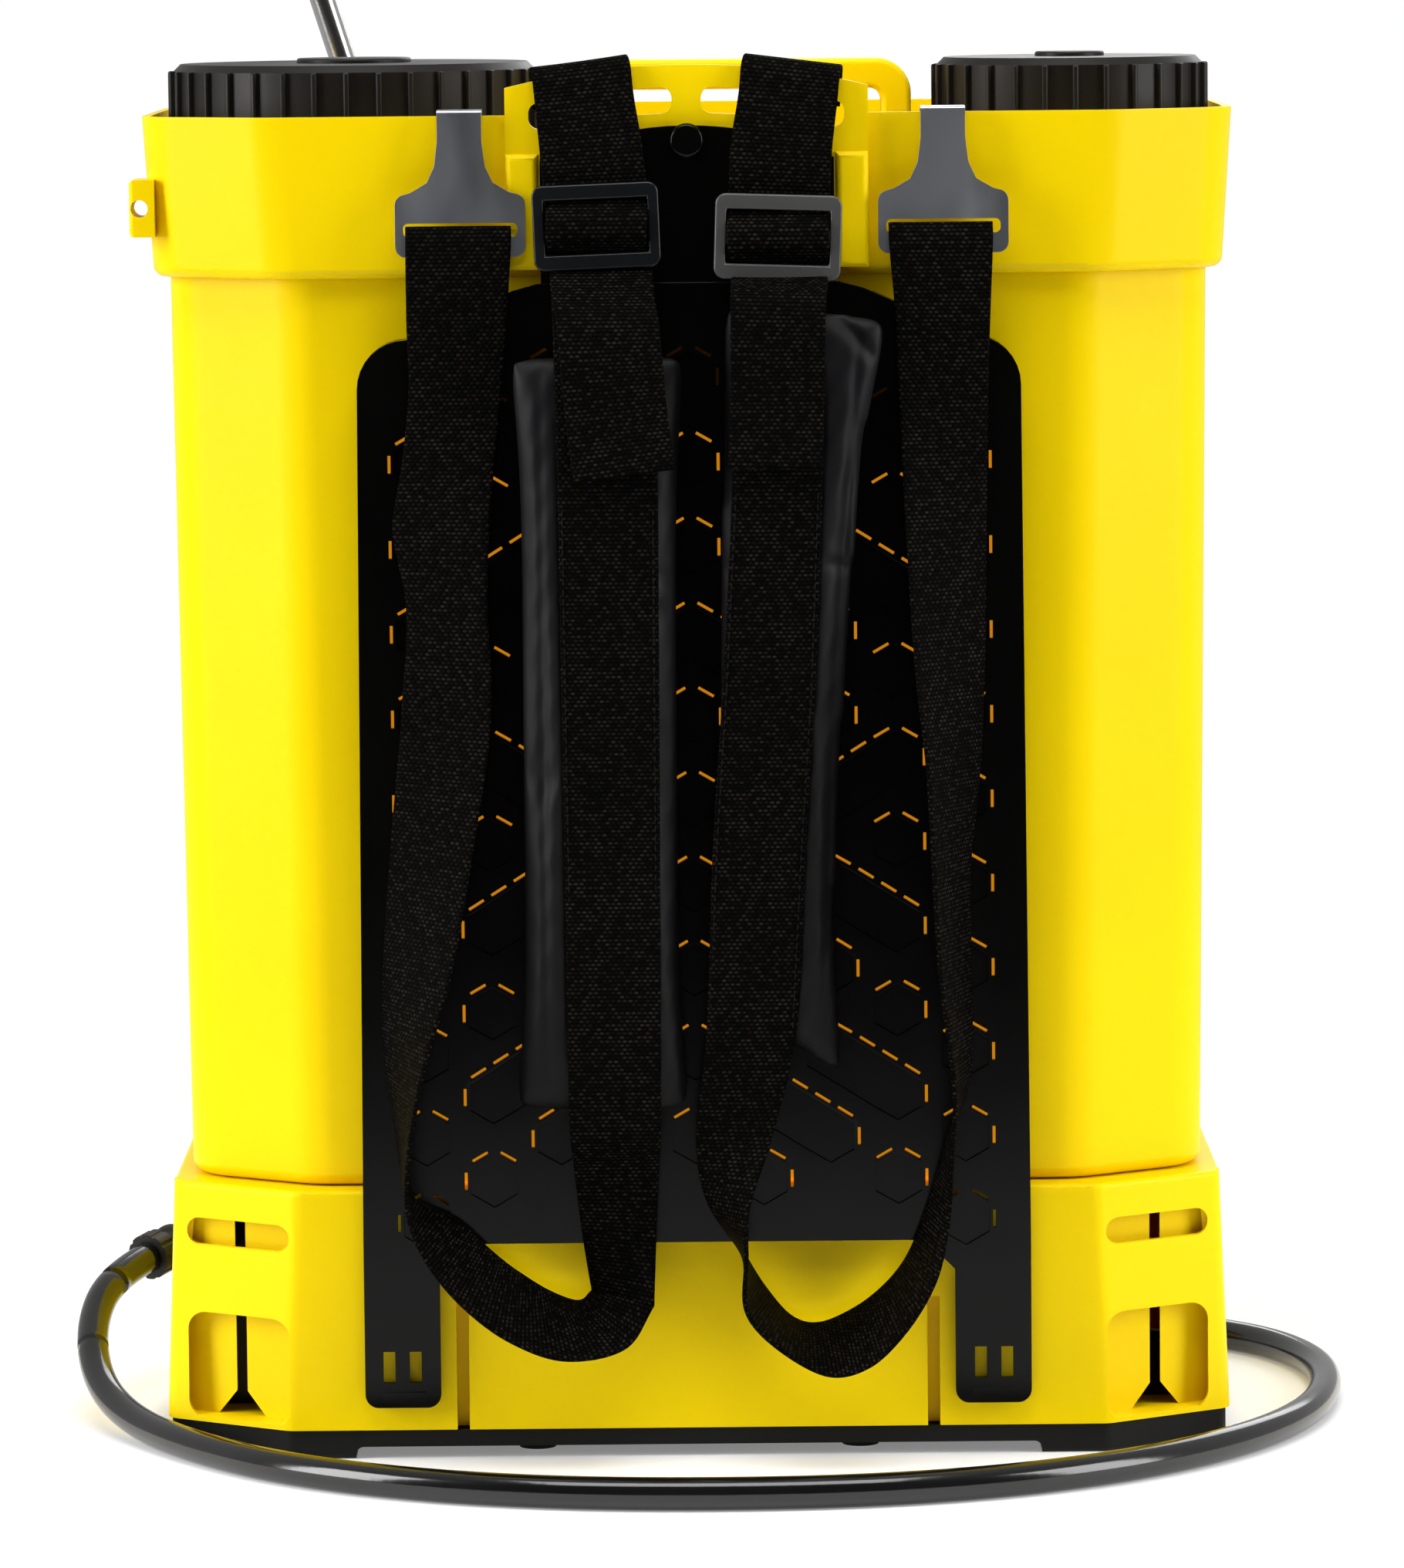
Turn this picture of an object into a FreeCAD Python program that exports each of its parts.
"""Two-chamber electric backpack sprayer, as an assembly of separate pieces.

The frame is in millimetres. The origin is at the centre of the base on the floor, +Z is up, -Y is the
side that the harness is on, and +X is to the right of someone who looks at the harness side.
"""

import FreeCAD
import Part
import math
import os

from FreeCAD import Vector

os.makedirs("parts", exist_ok=True)

# ---------------------------------------------------------------- plan outlines
CHAMFER_X = 47.0            # the harness-side corners are cut off by this much across
CHAMFER_Y = 30.0            # and by this much in depth
FRONT_CORNER_R = 9.0
SOFT_CORNER_R = 27.0        # the blown tank and the collar turn their front corners more softly
REAR_CORNER_R = 42.0
GAP = 0.4                   # clearance between separate pieces that fit into each other
SCREW_R = 2.0
SCREW_HEAD_R = 3.8
SCREW_HEAD_T = 2.4

# ---------------------------------------------------------------- base
FLOOR_Z = 0.0
TRAY_TOP = 11.0
TRAY_FLOOR = 3.0
TRAY_ARCH = 4.5             # height of the long arch between the front feet
TRAY_ARCH_HALF = 127.0
TRAY_PAD = 60.0             # half width of the middle pad that the part stands on
BASE_TOP = 100.0
BASE_WALL = 3.0
BASE_W_LOW, BASE_D_LOW = 397.0, 208.0
BASE_W_TOP, BASE_D_TOP = 390.0, 202.0
ANCHOR_X0, ANCHOR_X1 = 151.0, 190.0
ANCHOR_SLOT_Z, ANCHOR_SLOT_H = 82.0, 10.0
RECESS_Z0, RECESS_Z1 = 10.0, 52.0
POCKET_DEPTH = 9.0
POCKET_SLIT_X, POCKET_SLIT_W = 170.0, 4.0
POCKET_FLARE = 9.0
GROOVE_X, GROOVE_W, GROOVE_TOP = 87.0, 4.6, 59.0

# ---------------------------------------------------------------- tank
TANK_BOTTOM, TANK_TOP = 100.4, 440.0
TANK_W_LOW, TANK_D_LOW = 378.0, 182.0
TANK_W_TOP, TANK_D_TOP = 384.0, 186.0
TANK_WALL = 3.0
PARTITION_X, PARTITION_T = 45.0, 3.0
NECK_TOP = TANK_TOP + 63.0
NECK_WALL = 3.5
SPIGOT_R, SPIGOT_BORE, SPIGOT_LENGTH = 7.0, 4.5, 16.0
MARK_STEP, MARK_COUNT = 24.0, 12

# ---------------------------------------------------------------- caps
LARGE_X, LARGE_R = -125.0, 70.0
SMALL_X, SMALL_R = 144.0, 52.0
CAP_HEIGHT = 43.0
CAP_TOP = NECK_TOP + 10.0
CAP_PLATE = 5.5
CAP_RIB = 2.2
CAP_BEVEL = 2.6
CAP_WALL = 7.0
LARGE_RIBS, SMALL_RIBS = 36, 28
LARGE_BOSS_R, SMALL_BOSS_R, BOSS_T = 21.5, 13.0, 1.8
GASKET_T = 2.4
STRAINER_T = 1.5
STRAINER_DEPTH = 95.0
STRAINER_WINDOWS = 12

# ---------------------------------------------------------------- collar and strap bracket
COLLAR_BOTTOM, COLLAR_TOP = TANK_TOP - 4.0, TANK_TOP + 55.0
COLLAR_W_LOW, COLLAR_D_LOW = 395.0, 198.0
COLLAR_W_TOP, COLLAR_D_TOP = 402.0, 205.0
COLLAR_WALL = 3.0
COLLAR_FLOOR = 3.0
BRACKET_HALF = 66.0
BRACKET_SHOULDER_Z, BRACKET_CROWN_Z = TANK_TOP + 65.0, TANK_TOP + 73.0
BRACKET_FRONT, BRACKET_BACK = -105.2, -100.4
BRACKET_FLANGE = 12.0
BRACKET_FLANGE_Y = -107.6
SLOT_X0, SLOT_X1 = 5.3, 57.5
SLOT_BAR, SLOT_H = 8.0, 9.6
LUG_Z0, LUG_Z1, LUG_OUT = TANK_TOP + 11.0, TANK_TOP + 32.0, 4.3
RIVET_Z, RIVET_R = TANK_TOP + 45.5, 6.3
CLIP_Z = TANK_TOP + 28.0

# ---------------------------------------------------------------- carry handle
HANDLE_X0, HANDLE_X1 = -39.0, 84.0
HANDLE_TOP = CAP_TOP
HANDLE_BAR = 11.0
HANDLE_HALF_Y = 15.0
HANDLE_CORNER_R = 13.0
HANDLE_LIP = 3.0

# ---------------------------------------------------------------- back plate
PLATE_FRONT, PLATE_SKIN = -108.0, 2.6
PLATE_HALF_TOP, PLATE_HALF_LOW = 121.0, 123.0
PLATE_PANEL_Z, PLATE_LEG_Z = 81.0, 20.0
PLATE_LEG_IN = 95.0
PLATE_EDGE_Z = TANK_TOP - 6.0          # top edge of the honeycomb panel
PLATE_CORNER_R, PLATE_CORNER_Z = 18.0, TANK_TOP - 44.0
PLATE_RIM_Y, PLATE_RIM_T = -93.4, 2.2
TONGUE_HALF, TONGUE_Z, TONGUE_CROWN_Z = 53.5, TANK_TOP + 39.0, TANK_TOP + 51.0
HEX_COLUMN, HEX_HALF_ROW = 24.8, 15.55
HEX_ORIGIN_Z = 151.0
HEX_FLATS = 17.0
HEX_DEPTH = 1.1
SLIT_LENGTH, SLIT_WIDTH, SLIT_OFFSET = 6.5, 1.1, 1.9
SLIT_PITCH = 10.0

# ---------------------------------------------------------------- webbing, hooks, buckles, pads
WEB_T = 1.8
TAIL_T = 1.6
PAD_FRONT, PAD_BACK = -127.0, -112.5
PAD_ROUND = 3.0
HOOK_T = 1.4
HOOK_FRONT = -109.6
HOOK_TOP = 497.2
LEFT_HOOK_X, RIGHT_HOOK_X = -82.5, 93.0
BUCKLE_W, BUCKLE_H, BUCKLE_T = 46.0, 31.0, 3.0
BUCKLE_BAR_X, BUCKLE_BAR_Z = 4.0, 5.6
BUCKLE_MIDDLE = 5.0
BUCKLE_FRONT = -117.6
LEFT_BUCKLE = (-33.0, 455.0, 2.0)      # centre X, centre Z, lean in degrees
RIGHT_BUCKLE = (32.8, 450.5, -2.0)

# ---------------------------------------------------------------- pump, battery and outlet
BATTERY = (-180.0, -34.0, -52.0, 33.0, 9.0, 74.0)
MOTOR_R, MOTOR_LENGTH = 16.5, 58.0
PUMP_Y, PUMP_Z = -34.0, 42.0
PUMP_HEAD = (0.0, 52.0, -64.0, -4.0, 12.0, 72.0)
VALVE_X, VALVE_PORT_Y, VALVE_Z = -60.0, 54.0, 62.0
OUTLET_ARM = 17.0
OUTLET_INNER_X = -184.0

# ---------------------------------------------------------------- control panel
PANEL_X0, PANEL_X1, PANEL_Z0, PANEL_Z1 = 55.0, 152.0, 24.0, 78.0
PANEL_T = 3.0
PANEL_Y = 105.0
ROCKER_X, ROCKER_HALF_X, ROCKER_HALF_Z = 70.0, 7.0, 10.5
KNOB_X, KNOB_R, KNOB_T = 98.0, 10.5, 12.0
METER_X, METER_HALF_X, METER_HALF_Z = 124.0, 9.5, 6.0
SOCKET_X, SOCKET_Z, SOCKET_R = 140.0, 38.0, 5.5

# ---------------------------------------------------------------- spray gun and lance
LEAN = 17.5                             # degrees, leaning left on the way up
GUN_FOOT = Vector(-6.4, 122.0, 105.0)
GUN_LENGTH = 165.0
GUN_HALF_WIDTH, GUN_HALF_DEPTH = 14.0, 13.0
SHELL_WALL = 2.2
NUT_LENGTH, NUT_R = 22.0, 10.5
TUBE_R, TUBE_BORE = 5.0, 4.2
TUBE_START, TUBE_END = 150.0, 505.0
COLLET_START, COLLET_LENGTH, COLLET_R = 492.0, 34.0, 9.5
EXTENSION_R, EXTENSION_BORE = 3.9, 2.8
EXTENSION_START, EXTENSION_END = 205.0, 550.0
NOZZLE_BEND = 35.0
NOZZLE_ARM = 24.0
TRIGGER_PIVOT_S, TRIGGER_LENGTH = 138.0, 92.0
LOCK_PIVOT_S, LOCK_ARM = 30.0, 17.0

# ---------------------------------------------------------------- delivery hose on the floor
HOSE_R = 6.0
HOSE_ROUTE = [
    (-214, 54, 50), (-227, 31, 46), (-233, 2, 32), (-228, -29, 16), (-213, -62, 7.5),
    (-188, -105, 6), (-153, -149, 6), (-104, -182, 6), (-50, -200, 6), (6, -205, 6),
    (62, -201, 6), (114, -185, 6), (162, -155, 6), (202, -112, 6), (229, -60, 6),
    (241, -2, 6), (240, 50, 6), (222, 96, 6), (186, 126, 6), (140, 139, 6),
    (96, 134, 6), (61, 127, 6), (33.7, 123, 18.3), (13.8, 122, 40.7), (1.5, 122, 79.8),
]
BEND_SHARE = 0.45

# Heights of the webbing, pads, hooks and buckles are written for a tank top at HARNESS_TANK_TOP. Those
# from HARNESS_TOP_Z up move with the tank's top, and the rest spread out below it.
HARNESS_TANK_TOP, HARNESS_TOP_Z = 440.0, 396.0
HARNESS_RISE = TANK_TOP - HARNESS_TANK_TOP

# Edge points of the webbing: (x, y, z) of one edge, then of the other, from the top down.
LEFT_WEBBING = [
    ((-56, -99.1, 497), (-20, -99.1, 499)), ((-57, -98.9, 508.5), (-21, -98.9, 513)),
    ((-57, -102.8, 511.5), (-21, -102.8, 516)), ((-56, -107.2, 508.8), (-20, -107.2, 513)),
    ((-55, -109.8, 500), (-19, -109.8, 503)), ((-53, -113.2, 478), (-15.5, -113.2, 480)),
    ((-50, -113.2, 437), (-12.5, -113.2, 437)), ((-49.5, -119, 427), (-12, -119, 427)),
    ((-49, -129.2, 416), (-11.8, -129.2, 416)), ((-48, -129.2, 356), (-11.5, -129.2, 356)),
    ((-47, -129.2, 230), (-12, -129.2, 230)), ((-46, -129, 125), (-12.8, -129, 125)),
    ((-45, -122, 112), (-13.5, -121, 112)), ((-42, -116, 84), (-15, -119, 82)),
    ((-39, -111.5, 64), (-16, -124, 60)),
]
LEFT_LOOP = [
    ((-39, -111.5, 64), (-16, -124, 60)), ((-44, -111, 60), (-26, -137, 47)),
    ((-55, -111, 64), (-48, -141, 43)), ((-66, -111, 71), (-68, -142, 50)),
    ((-76, -111, 79), (-86, -143, 64)), ((-88, -111, 90), (-99, -144, 81)),
    ((-104.5, -111, 99), (-105, -146, 98)), ((-110, -111, 124), (-104, -146, 122)),
    ((-114, -111, 155), (-98, -143, 152)), ((-114, -111, 184), (-89, -137, 182)),
    ((-111, -111, 226), (-81, -131, 224)), ((-107, -111, 280), (-72, -122, 279)),
    ((-104, -111.5, 318), (-74, -121, 318)), ((-108.5, -111.5, 345), (-73, -119, 345)),
    ((-105, -111.4, 368), (-71, -115, 368)), ((-102, -111.4, 396), (-68, -112, 396)),
]
LEFT_END = [
    ((-102, -111.4, 396.6), (-68, -112, 396.6)), ((-102.5, -111.4, 420), (-66, -111.4, 420)),
    ((-102.5, -111.5, 449.3), (-64, -111.5, 449.3)), ((-102.5, -109.2, 455.0), (-64, -109.2, 455.0)),
]
RIGHT_WEBBING = [
    ((20, -99.1, 499), (56, -99.1, 497)), ((21, -98.9, 513), (57, -98.9, 508.5)),
    ((21, -102.8, 516), (57, -102.8, 511.5)), ((20, -107.2, 513), (56, -107.2, 508.8)),
    ((19, -109.8, 503), (55, -109.8, 500)), ((15.5, -113.2, 480), (52.5, -113.2, 478)),
    ((15.5, -113.2, 434), (51, -113.2, 434)), ((15.5, -129.3, 428.6), (50, -129.3, 428.6)),
    ((15.5, -129.4, 395), (49, -129.4, 395)), ((15, -129.2, 357), (48, -129.2, 357)),
    ((11, -129.2, 286), (45, -129.2, 286)), ((7, -129.2, 229), (41, -129.2, 229)),
    ((4, -129, 161), (37, -129, 161)), ((0, -124, 120), (27, -129, 120)),
    ((4, -115, 97), (19, -136, 97)), ((15, -111, 80), (18, -142, 80)),
]
RIGHT_LOOP = [
    ((15, -111, 80), (18, -142, 80)), ((25, -111, 64), (18, -143, 60)),
    ((35, -111, 53), (31, -144, 46)), ((45, -111, 51), (48, -144, 37)),
    ((57, -111, 56), (62, -144, 40)), ((68, -111, 64), (75, -144, 52)),
    ((77, -111, 75), (86, -144, 70)), ((84, -111, 91), (91, -144, 89)),
    ((92, -111, 117), (93, -146, 117)), ((100, -111, 140), (94, -145, 140)),
    ((101, -111, 184), (89, -144, 184)), ((101, -111, 218), (87, -143, 218)),
    ((105, -111, 257), (85, -140, 257)), ((107, -111, 296), (81, -136, 296)),
    ((108, -111.2, 350), (78, -126, 350)), ((109, -111.4, 396), (76, -115, 396)),
]
RIGHT_END = [
    ((109, -111.4, 396.6), (76, -115, 396.6)), ((110, -111.4, 424), (75, -111.4, 424)),
    ((111, -111.5, 449.3), (73, -111.5, 449.3)), ((111, -109.2, 455.0), (73, -109.2, 455.0)),
]
LEFT_TAIL = [
    ((-50, -120.2, 437), (-13, -120.2, 437)), ((-47.7, -131.8, 420), (-10.4, -132.2, 420)),
    ((-45, -133, 388), (-8, -134.6, 391)), ((-42, -134, 363), (-5, -136.5, 368)),
]
RIGHT_TAIL = [
    ((15.6, -121.6, 434.3), (50.8, -121.6, 434.3)), ((15.2, -132, 431), (50, -132, 430)),
    ((15, -133, 395), (49, -133.4, 395)), ((14, -133.6, 368), (48, -134.6, 367)),
]
LEFT_PAD = [(-66, 411), (0.5, 411), (-0.5, 129), (-67, 129)]
RIGHT_PAD = [(9.5, 427), (72, 425), (60.5, 285), (53.5, 178), (51.5, 142), (37, 141), (18, 160),
             (4.5, 171), (4.5, 230), (6, 300)]
PAIRED_CELLS = [((2, 6), (3, 7)), ((2, 4), (3, 3)), ((2, 0), (3, -1)), ((1, -1), (2, -2)),
                ((1, 7), (2, 8)), ((0, 10), (1, 9)), ((2, 12), (3, 11)), ((1, 3), (2, 2))]


# ================================================================ helpers
def box(x0, x1, y0, y1, z0, z1):
    """A box between two corners."""
    return Part.makeBox(x1 - x0, y1 - y0, z1 - z0, Vector(x0, y0, z0))


def rod(radius, start, end):
    """A round bar from one point to another."""
    start, end = Vector(*start), Vector(*end)
    return Part.makeCylinder(radius, (end - start).Length, start, end - start)


def ring(outer, inner, start, end):
    """A round tube from one point to another."""
    return rod(outer, start, end).cut(rod(inner, start, end))


def plan(width, depth, corner=FRONT_CORNER_R):
    """Corner points of the octagon-like outline that the whole body shares, with its radii."""
    x, y = width / 2, depth / 2
    points = [(CHAMFER_X - x, -y), (x - CHAMFER_X, -y), (x, CHAMFER_Y - y),
              (x, y), (-x, y), (-x, CHAMFER_Y - y)]
    return points, [corner] * 3 + [REAR_CORNER_R] * 2 + [corner]


def inset(outline, distance):
    """The same outline moved inwards by a distance, with its corners tightened to match."""
    points, radii = outline
    lines = []
    for i, (x0, y0) in enumerate(points):
        x1, y1 = points[(i + 1) % len(points)]
        length = math.hypot(x1 - x0, y1 - y0)
        nx, ny = -(y1 - y0) / length, (x1 - x0) / length
        lines.append((nx, ny, nx * x0 + ny * y0 + distance))
    moved = []
    for i, (a1, b1, c1) in enumerate(lines):
        a0, b0, c0 = lines[i - 1]
        det = a0 * b1 - a1 * b0
        moved.append(((c0 * b1 - c1 * b0) / det, (a0 * c1 - a1 * c0) / det))
    return moved, [max(r - distance, 1.0) for r in radii]


def outline_wire(outline, z):
    """A closed wire at height z through the outline's points, with its corners rounded."""
    points, radii = outline
    count = len(points)
    edges, ends = [], []
    for i in range(count):
        here = Vector(points[i][0], points[i][1], z)
        before = Vector(points[i - 1][0], points[i - 1][1], z) - here
        after = Vector(points[(i + 1) % count][0], points[(i + 1) % count][1], z) - here
        half = before.getAngle(after) / 2
        before.normalize()
        after.normalize()
        leg = radii[i] / math.tan(half)
        middle = (before + after).normalize() * (radii[i] / math.sin(half) - radii[i])
        ends.append((here + before * leg, here + middle, here + after * leg))
    for i, (start, middle, end) in enumerate(ends):
        edges.append(Part.Arc(start, middle, end).toShape())
        edges.append(Part.LineSegment(end, ends[(i + 1) % count][0]).toShape())
    return Part.Wire(edges)


def prism(outline, z0, z1):
    """An upright solid with the same outline from z0 to z1."""
    return Part.Face(outline_wire(outline, z0)).extrude(Vector(0, 0, z1 - z0))


def taper(low, high, z0, z1):
    """An upright solid that runs from one outline at z0 to another at z1."""
    return Part.makeLoft([outline_wire(low, z0), outline_wire(high, z1)], True, True)


def upright_plate(points, y0, y1, radius=0.0):
    """A plate in an XZ outline between two depths, its corners rounded where a radius is given."""
    if radius:
        flat = outline_wire((points, [radius] * len(points)), 0.0)
        face = Part.Face(flat)
        face.rotate(Vector(0, 0, 0), Vector(1, 0, 0), 90)
    else:
        corners = [Vector(x, 0, z) for x, z in points]
        face = Part.Face(Part.makePolygon(corners + corners[:1]))
    face.translate(Vector(0, y0, 0))
    return face.extrude(Vector(0, y1 - y0, 0))


def raised(z):
    """A harness height, moved or spread to suit the tank's height."""
    if z >= HARNESS_TOP_Z:
        return z + HARNESS_RISE
    return z * (1.0 + HARNESS_RISE / HARNESS_TOP_Z)


def ribbon(stations, thickness):
    """A flat strap that runs through pairs of edge points, as a solid with flat facets."""
    edges = [[Vector(x, y, raised(z)) for x, y, z in pair] for pair in stations]
    middles = [(a + b) * 0.5 for a, b in edges]
    sections = []
    for i, (a, b) in enumerate(edges):
        along = middles[min(i + 1, len(edges) - 1)] - middles[max(i - 1, 0)]
        normal = (b - a).cross(along).normalize() * (thickness / 2)
        sections.append([a + normal, b + normal, b - normal, a - normal])
    facets = [(c[0], c[1], c[2]) for c in (sections[0], sections[-1])]
    facets += [(c[0], c[2], c[3]) for c in (sections[0], sections[-1])]
    for low, high in zip(sections, sections[1:]):
        for i in range(4):
            j = (i + 1) % 4
            facets += [(low[i], low[j], high[j]), (low[i], high[j], high[i])]
    faces = [Part.Face(Part.makePolygon(list(f) + [f[0]])) for f in facets]
    solid = Part.Solid(Part.makeShell(faces))
    solid.fix(1e-6, 1e-6, 1e-6)
    return solid if solid.Volume > 0 else solid.reversed()


def bend_radii(route):
    """Radius of each arc that joins two runs of a route."""
    points = [Vector(*p) for p in route]
    radii = []
    for before, here, after in zip(points, points[1:], points[2:]):
        turn = (here - before).getAngle(after - here)
        shorter = min((here - before).Length, (after - here).Length)
        radii.append(BEND_SHARE * shorter / math.tan(turn / 2))
    return radii


def route_wire(route):
    """Straight runs joined by arcs that touch both runs."""
    points = [Vector(*p) for p in route]
    edges, start = [], points[0]
    for before, here, after in zip(points, points[1:], points[2:]):
        back = (before - here).normalize()
        ahead = (after - here).normalize()
        leg = BEND_SHARE * min((here - before).Length, (after - here).Length)
        half = back.getAngle(ahead) / 2
        radius = leg * math.tan(half)
        middle = here + (back + ahead).normalize() * (radius / math.sin(half) - radius)
        edges.append(Part.LineSegment(start, here + back * leg).toShape())
        edges.append(Part.Arc(here + back * leg, middle, here + ahead * leg).toShape())
        start = here + ahead * leg
    edges.append(Part.LineSegment(start, points[-1]).toShape())
    return Part.Wire(edges)


def hose(route, radius):
    """A round hose along a route."""
    path = route_wire(route)
    start, following = Vector(*route[0]), Vector(*route[1])
    circle = Part.Wire(Part.Circle(start, following - start, radius).toShape())
    return path.makePipeShell([circle], True, False, 2)


def fused(shapes):
    """One solid made of several that overlap or touch."""
    first, *others = shapes
    return first.fuse(others).removeSplitter()


def edges_at(shape, test):
    """The edges of a shape whose every vertex passes a test."""
    return [e for e in shape.Edges if all(test(v.Point) for v in e.Vertexes)]


def rounded_at_z(shape, z, radius):
    """The shape with the edges that lie at height z rounded."""
    return shape.makeFillet(radius, edges_at(shape, lambda p: abs(p.z - z) < 0.01))


def screw(x, y, z, up, length):
    """A cross-head screw whose head stands on z, with its shank pointing against up."""
    head = rod(SCREW_HEAD_R, (x, y, z), (x, y, z + up * SCREW_HEAD_T))
    shank = rod(SCREW_R, (x, y, z), (x, y, z - up * length))
    arm = 0.8
    top = z + up * SCREW_HEAD_T
    low, high = sorted((top - up * 1.2, top + up * 1.0))
    cross = [box(x - 2.4, x + 2.4, y - arm / 2, y + arm / 2, low, high),
             box(x - arm / 2, x + arm / 2, y - 2.4, y + 2.4, low, high)]
    return fused([head, shank]).cut(cross)


def export(name, shape):
    """Write one node's STEP file."""
    if not shape.isValid() or shape.Volume <= 0:
        raise ValueError(f"{name} is not a sound solid")
    shape.exportStep(f"parts/{name}.step")
    print(f"{name:22s} {len(shape.Solids):2d} solid(s) {shape.Volume / 1000:9.2f} cm3")


# ================================================================ tank, collar, handle
def tank_body():
    """Blow-moulded tank with a partition, two necks, two floor spigots and level marks."""
    low = plan(TANK_W_LOW, TANK_D_LOW, SOFT_CORNER_R)
    high = plan(TANK_W_TOP, TANK_D_TOP, SOFT_CORNER_R)
    outer = taper(low, high, TANK_BOTTOM, TANK_TOP)
    outer = rounded_at_z(outer, TANK_BOTTOM, 5.0)
    hollow = taper(inset(low, TANK_WALL), inset(high, TANK_WALL),
                   TANK_BOTTOM + TANK_WALL, TANK_TOP - TANK_WALL)
    wall = box(PARTITION_X - PARTITION_T / 2, PARTITION_X + PARTITION_T / 2, -120, 120, 0, 600)
    necks, bores = [], []
    for x, radius in ((LARGE_X, neck_radius(LARGE_R)), (SMALL_X, neck_radius(SMALL_R))):
        necks.append(rod(radius, (x, 0, TANK_TOP - TANK_WALL), (x, 0, NECK_TOP)))
        bores.append(rod(radius - NECK_WALL, (x, 0, TANK_TOP - TANK_WALL - 1), (x, 0, NECK_TOP + 1)))
    spigots, drains = [], []
    for x, y in spigot_places():
        spigots.append(rod(SPIGOT_R, (x, y, TANK_BOTTOM - SPIGOT_LENGTH), (x, y, TANK_BOTTOM + 2)))
        drains.append(rod(SPIGOT_BORE, (x, y, TANK_BOTTOM - SPIGOT_LENGTH - 1), (x, y, TANK_BOTTOM + 4)))
    rear = TANK_D_LOW / 2 - 0.5
    marks = []
    for x in (-120.0, 120.0):
        for i in range(MARK_COUNT):
            half = 12.0 if i % 2 else 7.0
            z = TANK_BOTTOM + 40.0 + i * MARK_STEP
            lift = (TANK_D_TOP - TANK_D_LOW) / 2 * (z - TANK_BOTTOM) / (TANK_TOP - TANK_BOTTOM)
            marks.append(box(x - half, x + half, rear + lift, rear + lift + 1.3, z - 0.8, z + 0.8))
    body = fused([outer] + necks + spigots + marks)
    return body.cut([hollow.cut(wall)] + bores + drains)


def neck_radius(cap_radius):
    """Outer radius of the filler neck that a cap of this radius screws onto."""
    return cap_radius - CAP_RIB - CAP_WALL - 1.8


def spigot_places():
    """Where each chamber drains through its floor."""
    return ((-112.0, 40.0), (100.0, 40.0))


def arch_radius(half, rise):
    """Radius of the arc over a span of twice half that rises by rise."""
    return (half * half + rise * rise) / (2 * rise)


def arch_plate(half, low, shoulder, crown, y0, y1):
    """An upright plate with straight sides and an arched top."""
    arc = Part.Arc(Vector(-half, y0, shoulder), Vector(0, y0, crown), Vector(half, y0, shoulder))
    corners = [Vector(half, y0, shoulder), Vector(half, y0, low), Vector(-half, y0, low),
               Vector(-half, y0, shoulder)]
    sides = [Part.LineSegment(a, b).toShape() for a, b in zip(corners, corners[1:])]
    return Part.Face(Part.Wire([arc.toShape()] + sides)).extrude(Vector(0, y1 - y0, 0))


def strap_slots():
    """The two arched slots that the shoulder straps pass through."""
    radius = arch_radius(BRACKET_HALF, BRACKET_CROWN_Z - BRACKET_SHOULDER_Z)
    centre = BRACKET_CROWN_Z - radius
    ends = (BRACKET_FLANGE_Y - 2, BRACKET_BACK + 4)
    band = ring(radius - SLOT_BAR, radius - SLOT_BAR - SLOT_H, (0, ends[0], centre), (0, ends[1], centre))
    slots = []
    for side in (-1, 1):
        x0, x1 = sorted((side * SLOT_X0, side * SLOT_X1))
        slot = band.common(box(x0, x1, ends[0], ends[1], COLLAR_TOP - 30, BRACKET_CROWN_Z))
        corners = [e for e in slot.Edges if e.BoundBox.YLength > 1 and e.BoundBox.XLength < 1]
        slots.append(slot.makeFillet(SLOT_H * 0.42, corners))
    return slots


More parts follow.
